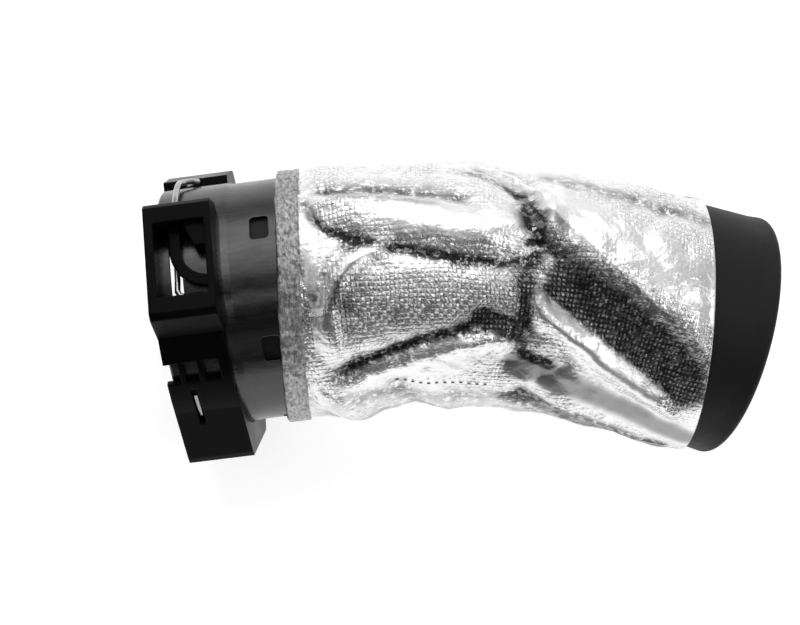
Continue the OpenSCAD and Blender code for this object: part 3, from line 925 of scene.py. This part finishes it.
@dataclass
class HeatShieldSleeve:
    """The foil cloth sleeve with its folds, the tape over its edge and its row of stitches."""

    edge_at: float = 31.6
    edge_slant: float = 4.4
    edge_dir: float = -22.0
    bare_cuff: float = 15.2
    bare_slant: float = 8.0
    bare_dir: float = -38.0
    bare_least: float = 10.0
    cloth: float = 0.7
    girth_r: float = 37.0
    slack: float = 1.02
    rest_shape: Line = (
        (31, 37.1), (43, 37.2), (47, 37.8), (60, 36.8), (68, 36.1), (90, 36.2), (104, 35.3),
        (111, 35.3), (119, 36.5), (133, 37.2), (145, 37.6), (151, 38.0), (175, 38.1),
    )
    least_shape: Line = (
        (31, 36.25), (44.9, 36.25), (49, 33.9), (137, 33.9), (138.2, 34.4), (148, 37.1), (175, 37.45),
    )
    crumples: tuple[tuple[float, float, int], ...] = ((0.3, 19, 4), (0.14, 8.5, 11))
    start_gap: float = 0.3
    start_run: float = 4.0
    end_run: float = 7.0
    end_least: float = 0.12
    floor_gap: float = 0.35
    around: int = 300
    along: int = 232
    inner_rows: int = 40
    start_in: float = 0.8
    smooth_rounds: int = 40
    # painted shade in the creases: its strongest value and the depth at which it is full
    crease_shade_most: float = 0.6
    hollow_depth: float = 0.8
    satin_calm: float = 0.8
    # painted shade along the creases of the side out of view
    hidden_from: float = 112.0
    hidden_shade: float = 0.7
    hidden_width: float = 0.7
    tape_w: float = 7.0
    tape_t: float = 0.5
    tape_lap: Span = (2.0, 38.0)
    tape_in: float = 36.1
    tape_out: float = 37.1
    tape_points: int = 360
    tape_rows: int = 12
    tape_ease: float = 0.6
    tape_shoulders: Span = (0.8, 0.7)
    tape_inset: float = 1.0
    tape_clear: float = 0.05
    per_degree: float = 0.65
    wrinkles: tuple[tuple[float, float, float, int], ...] = ((0.16, 0.35, 6, 21), (0.1, 1.5, 5, 33))
    wrinkle_least: float = -0.3
    wrinkle_lift: float = 0.1
    fray: float = 0.18
    fray_size: float = 9.0
    fray_seed: int = 5
    seam: Span = (66, 93)
    seam_turn: float = 71.3
    seam_points: int = 90
    seam_lift: float = 0.1
    stitch_pitch: float = 2.3
    stitch_len: float = 1.1
    thread_r: float = 0.2
    folds: tuple[Fold, ...] = (
        # upper bulge with the long dark valley below it
        Fold(((57, -17), (70, -11), (86, -7), (98, -9)), 2.2, 8, 5),
        Fold(BULGE_VALLEY, -2.2, 3.2, 4.2, Profile.SHARP),
        Fold(((50, -32), (59, -31), (69, -29), (82, -26)), -1.0, 4.0, 4.0),
        Fold(((48, -25), (62, -23), (78, -19)), 0.9, 3, 2.4),
        # arc beside the tape
        Fold(((63, 2), (56, 8), (52.5, 15), (50, 24), (49.5, 34), (50, 44)), 1.7, 2.2, 3.2),
        Fold(((55, -1), (51, 7), (48, 15), (46, 24)), -1.0, 2.2, 2.0),
        # middle crease and the pocket at its end
        Fold(MIDDLE_CREASE, -2.2, 3.4, 2.6, Profile.SHARP),
        Fold(((52, 68), (66, 58), (80, 51), (88, 47)), 1.0, 3.4, 3.6),
        Fold(((86, 47), (92, 44), (96, 45)), 1.5, 3, 3),
        Fold(((90, 32), (98, 36), (104, 44)), -1.4, 2.6, 3, Profile.SHARP),
        # valley across the waist
        Fold(WAIST, -1.9, 3.2, 3.6, Profile.SHARP),
        Fold(((90, -56), (95, -44), (99, -32)), -1.4, 3, 3),
        Fold(((104, -34), (107, -22), (106, -8)), 1.6, 2.6, 3),
        # long ridge towards the cuff, the hollow below it and the bright crest
        Fold(((105, -24), (109, -12), (116, 0), (125, 7), (134, 14), (144, 21), (154, 28)), 2.4, 15, 4.5),
        Fold(((108, 18), (116, 26), (128, 35), (140, 43), (152, 50)), -1.8, 7, 6),
        Fold(CREST, 2.4, 3.6, 3.0),
        Fold(((112, 54), (124, 62), (138, 70), (150, 76)), -0.9, 5, 6),
        Fold(((108, 70), (117, 79), (131, 86), (147, 94)), 1.4, 3, 5),
        Fold(((104, 78), (109, 66), (116, 54)), -1.5, 2.6, 2.6, Profile.SHARP),
        # lower rim
        Fold(((46, 78), (52, 96), (54, 118)), 2.2, 5, 6),
        Fold(((66, 74), (70, 92), (72, 110)), -1.4, 5, 5),
        Fold(((78, 82), (82, 100), (84, 116)), 0.9, 4, 4),
        # hidden side
        Fold(((48, 150), (62, 172), (70, 200), (66, 226)), -1.5, 4, 5),
        Fold(((58, 140), (76, 158), (92, 184), (96, 214)), 1.6, 6, 4),
        Fold(((84, 126), (100, 150), (112, 180), (118, 206)), -1.7, 4, 5, Profile.SHARP),
        Fold(((108, 120), (122, 146), (138, 166), (150, 190)), 1.6, 6, 4),
        Fold(((50, 240), (66, 252), (84, 262), (96, 280)), -1.4, 4, 4, Profile.SHARP),
        Fold(((56, 262), (74, 274), (90, 290)), 1.3, 5, 4),
        Fold(((104, 232), (118, 250), (132, 262), (150, 268)), 1.7, 6, 4),
        Fold(((100, 260), (114, 274), (130, 286), (148, 296)), -1.3, 4, 5, Profile.SHARP),
        Fold(((108, 296), (124, 306), (140, 312)), 0.8, 6, 6),
    )
    # painted shade, painted dark reflections and one painted highlight, fixed to the cloth
    tones: tuple[Fold, ...] = (
        # painted shade: long dark line under the bulge, and streaks above it
        Fold(BULGE_VALLEY, 0.7, 1.4, 2.3),
        Fold(((50, -33), (62, -31), (74, -30), (83, -27)), 0.4, 5.0, 3.6),
        Fold(((54, -23), (66, -21), (76, -19)), 0.45, 2.4, 2.2),
        Fold(((86, -46), (93, -39), (99, -31), (102, -24)), 0.75, 2.2, 2.2),
        # painted shade in the middle crease, blotch and valley
        Fold(MIDDLE_CREASE, 0.95, 2.0, 1.8),
        Fold(((90, 35), (95, 38), (98, 41)), 1.0, 3.2, 2.8, Profile.FLAT),
        Fold(((101.5, -18), (103.2, 0), (101.2, 14), (102.8, 29), (102, 46)), 0.75, 2.6, 3.2),
        Fold(((103, 52), (107, 54), (111, 57)), 0.9, 2.0, 2.0, Profile.FLAT),
        # painted shade on the slope, with a sharp upper edge
        Fold(((105, -18), (113, -8), (120, 3), (134, 17.5), (152, 31.5)), 0.66, 0.8, 8.5, Profile.FLAT),
        Fold(DARK_SLOPE, 0.97, 8.0, 5.6, Profile.FLAT),
        # painted shade on the satin hollow, the speckled rim and the woven middle
        Fold(SMOOTH_HOLLOW, 0.65, 5.0, 4.0, Profile.FLAT),
        Fold(((107, 81), (120, 86), (137, 92), (155, 99)), 0.93, 3.6, 9.0, Profile.FLAT),
        Fold(((52, 26), (72, 28), (98, 26)), 0.42, 9.5, 9.5, Profile.FLAT),
        Fold(((57, 8), (52.5, 16), (50.5, 26)), 0.55, 1.0, 1.2),
        Fold(((50, 74), (62, 80), (78, 82), (98, 80)), 0.45, 3.0, 7.0),
        Fold(((106, -48), (120, -38), (136, -34), (150, -32)), 0.6, 4.5, 3.0),
        # painted dark reflections along both outlines, where the cloth turns away
        Fold(((44, 102), (70, 104), (100, 104), (130, 107), (156, 109)), 0.6, 5.0, 9.0),
        Fold(((44, -73), (70, -74), (100, -72), (130, -69), (152, -66)), 0.5, 8.0, 3.0),
        # painted highlight beside the crest's lower edge
        Fold(beside(CREST, 5.5), -0.5, 1.8, 1.8),
    )
    satins: tuple[Fold, ...] = (
        Fold(SMOOTH_HOLLOW, 1.0, 6.0, 5.0, Profile.FLAT),
        Fold(((70, -14), (84, -11), (97, -11)), 0.95, 6.5, 6.0, Profile.FLAT),
        Fold(((60, 4), (54, 12), (51, 22), (48.5, 34)), 0.8, 2.0, 2.0),
        Fold(((45.3, -20), (45.3, 6), (45.6, 28), (45.6, 44)), 0.9, 2.2, 2.2, Profile.FLAT),
        Fold(((106, 24), (115, 37), (125, 46), (143, 58)), 0.95, 3.4, 3.0, Profile.FLAT),
        Fold(((108, -20), (122, -11), (136, -1), (152, 9)), 0.85, 10.0, 7.0, Profile.FLAT),
        Fold(((60, 66), (74, 62), (92, 58)), 0.7, 3.2, 3.2, Profile.FLAT),
    )
    wovens: tuple[Fold, ...] = (
        Fold(((54, 26), (72, 28), (98, 26)), 1.0, 10.0, 10.0, Profile.FLAT),
        Fold(DARK_SLOPE, 0.9, 14.0, 5.6, Profile.FLAT),
    )

    @property
    def girth(self) -> float:
        """Distance once round the sleeve."""
        return 2 * math.pi * self.girth_r

    def hidden_crease_shade(self) -> tuple[Fold, ...]:
        """Painted shade along the creases of the side that faces away from the camera."""
        hidden = [fold for fold in self.folds if fold.height < 0 and fold.line[0][1] > self.hidden_from]
        tone, wide = self.hidden_shade, self.hidden_width
        return tuple(Fold(fold.line, tone, fold.left * wide, fold.right * wide) for fold in hidden)

    def edge_s(self, turn: np.ndarray) -> np.ndarray:
        """Distance along the hose of the sleeve's edge at the coupling."""
        return self.edge_at + self.edge_slant * np.cos(np.radians(turn - self.edge_dir))

    def end_s(self, turn: np.ndarray) -> np.ndarray:
        """Distance along the hose of the sleeve's end at the cuff."""
        bare = self.bare_cuff + self.bare_slant * np.cos(np.radians(turn - self.bare_dir))
        return LINE.total_len - np.maximum(bare, self.bare_least)

    def rest_r(self, s: np.ndarray) -> np.ndarray:
        """Mean radius of the sleeve along the hose, before its folds."""
        return np.interp(s, *zip(*self.rest_shape))

    def least_r(self, s: np.ndarray) -> np.ndarray:
        """Radius of the rubber and collar under the sleeve, with a little clearance."""
        return np.interp(s, *zip(*self.least_shape))

    def radius(self, s: np.ndarray, turn: np.ndarray) -> np.ndarray:
        """Works out the outer radius of the folded cloth.

        Args:
            s: Distances from the mouth.
            turn: Turns round the hose in degrees.

        Returns:
            The outer radius at each point.
        """
        across = turn / 360 * self.girth
        lift = sum(fold.rise(s, across, self.girth) for fold in self.folds)
        for height, size, seed in self.crumples:
            lift = lift + height * crumple(s, across, size, seed)
        flat = np.clip((s - self.edge_s(turn) - self.tape_w - self.start_gap) / self.start_run, 0, 1)
        flat = flat * np.clip((self.end_s(turn) - s) / self.end_run, self.end_least, 1)
        r = self.rest_r(s) + flat * flat * (3 - 2 * flat) * lift
        r = np.maximum(r, self.least_r(s) + self.cloth)
        return np.minimum(r, LINE.floor_r(s, turn, self.floor_gap))

    def grid(self, rows: int, low: float, high: float) -> tuple[np.ndarray, np.ndarray]:
        """Spreads rows of points over the sleeve.

        Args:
            rows: Number of rows along the sleeve.
            low: Share of the length where the first row lies.
            high: Share of the length where the last row lies.

        Returns:
            The distances and the turns of the points, with each row's first point repeated at its end.
        """
        turn = np.linspace(0, 360, self.around + 1)[None, :].repeat(rows, 0)
        k = np.linspace(low, high, rows)[:, None]
        start = self.edge_s(turn) + self.start_in
        return start + (self.end_s(turn) - start) * k, turn

    def along_lines(self, lines: tuple[Fold, ...], s: np.ndarray, turn: np.ndarray) -> np.ndarray:
        """Adds up lines on the cloth's outer face, with their strength as height.

        Args:
            lines: The lines.
            s: Distances of the outer face's points along the hose.
            turn: Their turns round it.

        Returns:
            The sum at each point, without each row's repeated last point.
        """
        return sum(line.rise(s, turn / 360 * self.girth, self.girth) for line in lines)[:, :-1]

    def smoothed(self, r: np.ndarray) -> np.ndarray:
        """Evens out the folds of the outer face.

        Args:
            r: Radii as rows along the hose by points round it.

        Returns:
            The evened radii.
        """
        for _ in range(self.smooth_rounds):
            tall = np.pad(r, ((1, 1), (0, 0)), "edge")
            r = (np.roll(r, 1, 1) + np.roll(r, -1, 1) + tall[:-2] + tall[2:]) / 4
        return r

    def paint(self, piece: bpy.types.Object, name: str, tone: np.ndarray) -> None:
        """Writes an attribute on the cloth's outer face.

        Args:
            piece: The sleeve.
            name: Name of the attribute.
            tone: Its value at each point of the outer face.
        """
        values = np.zeros(len(piece.data.vertices), np.float32)
        outer = np.clip(tone, 0, 1).ravel()
        values[: outer.size] = outer
        layer = piece.data.attributes.new(name, "FLOAT", "POINT")
        layer.data.foreach_set("value", values)

    def build_cloth(self) -> bpy.types.Object:
        """Builds the sleeve as a thin closed shell.

        Returns:
            The sleeve.
        """
        s, turn = self.grid(self.along, 0, 1)
        outer_r = self.radius(s, turn)
        s_in, turn_in = self.grid(self.inner_rows, 1, 0)
        inner_r = np.maximum(self.radius(s_in, turn_in) - self.cloth, self.least_r(s_in))
        rings = np.concatenate([LINE.skin(s, turn, outer_r), LINE.skin(s_in, turn_in, inner_r)])[:, :-1]
        all_s = np.concatenate([s, s_in])
        all_turn = np.concatenate([turn, turn_in])
        piece = ring_mesh("foil_sleeve", rings, np.stack([np.radians(all_turn) * self.girth_r, all_s], -1))
        face_r = outer_r[:, :-1]
        satin = np.clip(self.along_lines(self.satins, s, turn), 0, 1)
        # painted shade: darker where the cloth lies below its evened surface, less where it is satin
        painted_shade = self.crease_shade_most * np.clip((self.smoothed(face_r) - face_r) / self.hollow_depth, 0, 1)
        painted_shade = painted_shade * (1 - self.satin_calm * satin)
        # the tone lines add painted shade, painted dark reflections and a painted highlight
        self.paint(piece, "painted_shade", painted_shade + self.along_lines(self.tones + self.hidden_crease_shade(), s, turn))
        self.paint(piece, "satin", satin)
        self.paint(piece, "woven", self.along_lines(self.wovens, s, turn))
        face_outwards(piece)
        piece.data.materials.append(FoilCloth().build())
        ride(piece, "foil_cloth", "heat_shield_sleeve")
        return piece

    def tape_steps(self) -> list[tuple[float, float, int]]:
        """Lists the rings of the tape's section.

        Returns:
            For each ring its distance from the sleeve's edge, its radius, and 1 where it is outside.
        """
        low, top, w = self.tape_in, self.tape_out, self.tape_w
        front, back = (top + self.tape_t * share for share in self.tape_shoulders)
        steps = [(0.0, low, 0), (0.0, low + self.tape_t, 1), (self.tape_ease, front, 1)]
        rows = np.linspace(2 * self.tape_ease, w - self.tape_ease, self.tape_rows)
        steps += [(at, top + self.tape_t, 1) for at in rows]
        steps += [(w, back, 1), (w, top + self.tape_clear, 0)]
        return steps + [(self.tape_inset, top + self.tape_clear, 0), (self.tape_inset, low, 0)]

    def build_tape(self) -> bpy.types.Object:
        """Builds the tape over the sleeve's edge, with its lap and crinkles.

        Returns:
            The tape.
        """
        turn = np.linspace(0, 360, self.tape_points + 1)[None, :]
        across = turn * self.per_degree
        lap = ((turn > self.tape_lap[0]) & (turn < self.tape_lap[1])) * self.tape_t
        rings, uv = [], []
        for at, r, lifts in self.tape_steps():
            s = self.edge_s(turn) + at
            wrinkle = 0
            for height, along, size, seed in self.wrinkles:
                wrinkle = wrinkle + height * crumple(s * along, across, size, seed)
            edge = 0
            if at in (0.0, self.tape_w):
                edge = self.fray * crumple(0 * s, across, self.fray_size, self.fray_seed)
            lift = lap + np.maximum(wrinkle, self.wrinkle_least) + self.wrinkle_lift
            rings.append(LINE.skin(s + lifts * edge, turn, r + lifts * lift)[0, :-1])
            uv.append(np.stack([np.radians(turn[0]) * self.girth_r, s[0]], -1))
        piece = ring_mesh("sleeve_tape_foil", np.array(rings), np.array(uv))
        face_outwards(piece)
        piece.data.materials.append(FoilTape().build())
        return ride(piece, "foil_tape", "sleeve_tape")

    def build_stitches(self) -> bpy.types.Object:
        """Sets the stitches of the sleeve's seam along its lower side.

        Returns:
            The stitches.
        """
        s = np.linspace(*self.seam, self.seam_points)
        turn = self.seam_turn + 0 * s
        points = LINE.skin(s, turn, self.radius(s, turn) + self.seam_lift)
        values = {"Pitch": self.stitch_pitch * MM, "Length": self.stitch_len * MM}
        values |= {"Thread": self.thread_r * MM, "Material": StitchThread().build()}
        piece = grow("sleeve_stitches", points, stitch_tree(), values)
        return ride(piece, "foil_cloth")

    def build(self) -> None:
        """Builds the sleeve, its tape and its stitches."""
        self.build_cloth()
        self.build_tape()
        self.build_stitches()


@dataclass
class ClipWire:
    """The bent spring wire: a foot, three chords through the collar and a pull loop."""

    wire_r: float = 0.9
    sides: int = 20
    chord_h: float = 34.8
    wire_at: float = 6.0
    ring_r: float = 37.4
    loop_w: float = 4.6
    loop_rise: float = 1.2
    loop_from: float = -60.0
    loop_top: float = -71.0
    loop_to: float = -80.0
    loop_points: int = 24
    loop_early: float = 6.0
    arc_step: float = 6.0
    foot_y: float = -9.3
    foot_z: float = 36.192
    foot_bends: tuple[Place, ...] = ((7.6, 0, 0), (2, 0, 0), (0.7, 0.4, 0), (0, 1.8, -0.2))
    foot_run: float = 6.0
    last_turn: float = -298.0

    def at(self, turn: float, r: float, x: float) -> Place:
        """Places a point round the collar."""
        a = math.radians(turn)
        return (x, -r * math.sin(a), r * math.cos(a))

    def line(self) -> np.ndarray:
        """Works out the wire's middle line.

        Returns:
            The points in the shared frame, in metres.
        """
        chord = math.degrees(math.acos(self.chord_h / self.ring_r))
        x, y, z = self.wire_at, self.foot_y, self.foot_z
        foot = [(x + dx, y + dy, z + dz) for dx, dy, dz in self.foot_bends]
        foot.append((x, y + self.foot_run, self.chord_h))

        def blend(k: float) -> float:
            """Eases a share from 0 to 1."""
            k = min(max(k, 0.0), 1.0)
            return k * k * (3 - 2 * k)

        start, stop = -chord, -120 + chord
        rise_len = self.loop_to - start + self.loop_early
        loop = []
        for i in range(self.loop_points + 1):
            turn = start + (stop - start) * i / self.loop_points
            out = math.sin(math.pi * min(max((turn - start + self.loop_early) / rise_len, 0), 1))
            side = blend((turn - self.loop_from) / (self.loop_top - self.loop_from))
            side -= blend((turn - self.loop_top) / (self.loop_to - self.loop_top))
            loop.append(self.at(turn, self.ring_r + self.loop_rise * out, self.wire_at + self.loop_w * side))
        arcs = []
        for a, b in ((-120 - chord, -240 + chord), (-240 - chord, self.last_turn)):
            n = max(math.ceil(abs(b - a) / self.arc_step), 1)
            arcs += [self.at(a + (b - a) * i / n, self.ring_r, self.wire_at) for i in range(n + 1)]
        return LINE.tipped(np.array(foot + loop + arcs)) * MM

    def build(self) -> None:
        """Sweeps the wire along its line."""
        values = {"Radius": self.wire_r * MM, "Sides": self.sides, "Material": SpringWire().build()}
        piece = grow("spring_clip_wire", self.line(), wire_tree(), values)
        ride(piece, "spring_steel", "spring_clip")


@dataclass
class MouldedParts:
    """The CAD nodes whose shape stays, each with its finish."""

    seal: MouldedRubber = MouldedRubber("seal_rubber", tones=(0.014, 0.0182), rough=(0.44, 0.58))

    def build(self) -> None:
        """Dresses each node that stays."""
        finishes = {
            "coupling_collar": DarkSteel().build(),
            "clip_carrier": BlackPlastic().build(),
            "seal_ring": self.seal.build(),
            "support_ferrule": BrightSteel().build(),
            "rubber_hose": MouldedRubber().build(),
        }
        for node, material in finishes.items():
            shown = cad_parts[node]
            shown.data.materials.clear()
            shown.data.materials.append(material)
            LOG.info("%s dressed with %s", node, material.name)


@dataclass(frozen=True)
class Lamp:
    """A soft rectangular lamp, where a glow of 1 is a white face."""

    name: str
    spot: Place
    size: Span
    glow: float

    def hang(self, target: Place) -> None:
        """Hangs the lamp and points it at a place.

        Args:
            target: The place, in metres.
        """
        data = bpy.data.lights.new(self.name, "AREA")
        data.shape = "RECTANGLE"
        data.size, data.size_y = self.size
        data.energy = self.glow * math.pi * self.size[0] * self.size[1]
        lamp = bpy.data.objects.new(self.name, data)
        bpy.context.scene.collection.objects.link(lamp)
        aim = Vector(target) - Vector(self.spot)
        lamp.matrix_world = Matrix.Translation(self.spot) @ aim.to_track_quat("-Z", "Y").to_matrix().to_4x4()


@dataclass
class Studio:
    """Pale floor, soft lamps and the camera at the photograph's angle."""

    lamps: tuple[Lamp, ...] = (
        Lamp("lamp_back", (0.05, 0.8, 0.7), (1.3, 0.6), 1.35),
        Lamp("lamp_top", (0.06, 0.42, 1.1), (0.9, 0.66), 1.5),
        Lamp("lamp_right", (1.0, -0.32, 0.86), (0.85, 0.6), 2.4),
        Lamp("lamp_left", (-0.9, -0.1, 0.5), (0.3, 0.7), 1.2),
        Lamp("lamp_fill", (0.0, -1.3, 0.75), (1.2, 0.4), 0.22),
        Lamp("lamp_strip", (0.02, -0.4, 1.1), (1.2, 0.13), 1.5),
    )
    target: Place = (0.09, -0.005, 0.0)
    sky_fade: Span = (-0.15, 0.75)
    sky_tones: Span = (0.07, 0.62)
    floor_r: float = 4.0
    floor_sides: int = 96
    floor_gap: float = 0.00005
    focal_px: float = 2792.25
    image_w: int = 800
    sensor_mm: float = 36.0
    near: float = 0.01
    place: Place = (2.901, -289.2, 802.087)
    right: Place = (0.994807, -0.09004, 0.047453)
    up: Place = (0.068886, 0.938864, 0.337327)
    back: Place = (-0.074925, -0.332306, 0.940191)

    def build_floor(self) -> None:
        """Lays the floor just under the part."""
        bpy.ops.mesh.primitive_circle_add(
            vertices=self.floor_sides, radius=self.floor_r, fill_type="NGON", location=(0, 0, 0)
        )
        floor = bpy.context.object
        floor.name = "floor"
        floor.data.transform(Matrix.Translation((0, 0, LINE.floor_z * MM - self.floor_gap)))
        floor.data.materials.append(PaleFloor().build())

    def build_world(self) -> None:
        """Builds a sky that is dark in front of the part and light behind it."""
        world = bpy.data.worlds.new("studio")
        bpy.context.scene.world = world
        world.use_nodes = True
        tree = world.node_tree
        ground = tree.nodes["Background"]
        where = tree.nodes.new("ShaderNodeTexCoord")
        split = tree.nodes.new("ShaderNodeSeparateXYZ")
        fade = tree.nodes.new("ShaderNodeMapRange")
        fade.interpolation_type = "SMOOTHSTEP"
        for key, value in enumerate(self.sky_fade + self.sky_tones, 1):
            fade.inputs[key].default_value = value
        tree.links.new(where.outputs["Generated"], split.inputs[0])
        tree.links.new(split.outputs[1], fade.inputs[0])
        tree.links.new(fade.outputs[0], ground.inputs["Color"])
        ground.inputs["Strength"].default_value = 1.0

    def build_camera(self) -> None:
        """Sets the camera where the photograph was taken."""
        data = bpy.data.cameras.new("photo_camera")
        data.sensor_width = self.sensor_mm
        data.lens = self.focal_px * self.sensor_mm / self.image_w
        data.clip_start = self.near
        camera = bpy.data.objects.new("photo_camera", data)
        bpy.context.scene.collection.objects.link(camera)
        axes = Matrix((self.right, self.up, self.back)).transposed().to_4x4()
        camera.matrix_world = Matrix.Translation(Vector(self.place) * MM) @ axes
        bpy.context.scene.camera = camera

    def build(self) -> None:
        """Builds the floor, the lamps, the world and the camera."""
        self.build_floor()
        for lamp in self.lamps:
            lamp.hang(self.target)
        self.build_world()
        self.build_camera()
        bpy.context.scene.view_settings.view_transform = "Standard"


def corners(box: tuple[Vector, Vector]) -> list[list[float]]:
    """Turns a box into plain lists of numbers."""
    return [[round(float(v), 6) for v in corner] for corner in box]


def main() -> None:
    """Builds every piece in order."""
    logging.basicConfig(level=logging.INFO, format="%(name)s %(message)s")
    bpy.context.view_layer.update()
    MouldedParts().build()
    ClipWire().build()
    HeatShieldSleeve().build()
    Studio().build()


if __name__ == "__main__":
    main()
